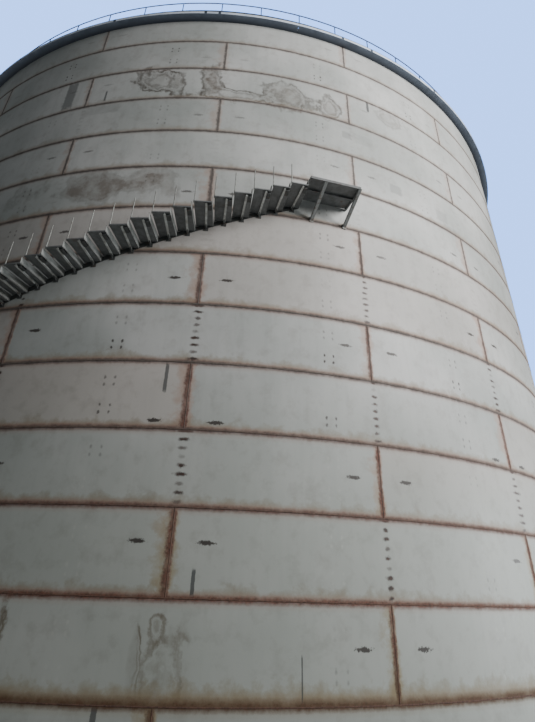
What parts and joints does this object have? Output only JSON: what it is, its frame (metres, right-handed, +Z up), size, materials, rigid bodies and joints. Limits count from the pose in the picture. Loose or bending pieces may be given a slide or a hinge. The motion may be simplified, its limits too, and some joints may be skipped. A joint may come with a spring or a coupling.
{
  "type": "vertical storage tank",
  "caption": "Large welded steel storage tank: staggered plate courses, flat bottom, shallow cone roof, rim girder with handrail, and a wall stair to a braced landing.",
  "frame": {"origin": "on the tank axis at the underside of the bottom plate, at ground level", "axes": "+Z up along the tank axis; -Y is the side with the landing, seen in the picture; the stair climbs from the -X side to the landing on the -Y side"},
  "size_m": [30.0195, 30.0195, 22.028],
  "materials": {
    "shell_plate": "weathered pale grey-green paint with rust-brown weld seams",
    "bottom_plate": "dull primer, rusted at the edge",
    "roof_plate": "weathered pale paint",
    "rim_steel": "dark blue-grey paint",
    "toe_plate": "pale grey paint",
    "handrail": "blue-grey paint",
    "stair_steel": "dark grey primer with light rust",
    "brace_steel": "grey primer with rust"
  },
  "bodies": {
    "root": {"shell_course_01": "shell_plate", "shell_course_02": "shell_plate", "shell_course_03": "shell_plate", "shell_course_04": "shell_plate", "shell_course_05": "shell_plate", "shell_course_06": "shell_plate", "shell_course_07": "shell_plate", "shell_course_08": "shell_plate", "shell_course_09": "shell_plate", "shell_course_10": "shell_plate", "shell_course_11": "shell_plate", "shell_course_12": "shell_plate", "shell_course_13": "shell_plate", "shell_course_14": "shell_plate", "bottom_plate": "bottom_plate", "roof_deck": "roof_plate", "rim_girder_1": "rim_steel", "rim_toe_plate_1": "toe_plate", "rim_girder_2": "rim_steel", "rim_toe_plate_2": "toe_plate", "rim_girder_3": "rim_steel", "rim_toe_plate_3": "toe_plate", "rim_girder_4": "rim_steel", "rim_toe_plate_4": "toe_plate", "roof_handrail_1": "handrail", "roof_handrail_2": "handrail", "roof_handrail_3": "handrail", "roof_handrail_4": "handrail", "roof_handrail_5": "handrail", "roof_handrail_6": "handrail", "roof_handrail_7": "handrail", "roof_handrail_8": "handrail", "roof_handrail_9": "handrail", "roof_handrail_10": "handrail", "stair_flight_1": "stair_steel", "stair_flight_2": "stair_steel", "stair_flight_3": "stair_steel", "stair_flight_4": "stair_steel", "stair_flight_5": "stair_steel", "stair_flight_6": "stair_steel", "stair_flight_7": "stair_steel", "stair_flight_8": "stair_steel", "landing_deck": "stair_steel", "landing_brace_left": "brace_steel", "landing_brace_right": "brace_steel"}
  },
  "joints": []
}
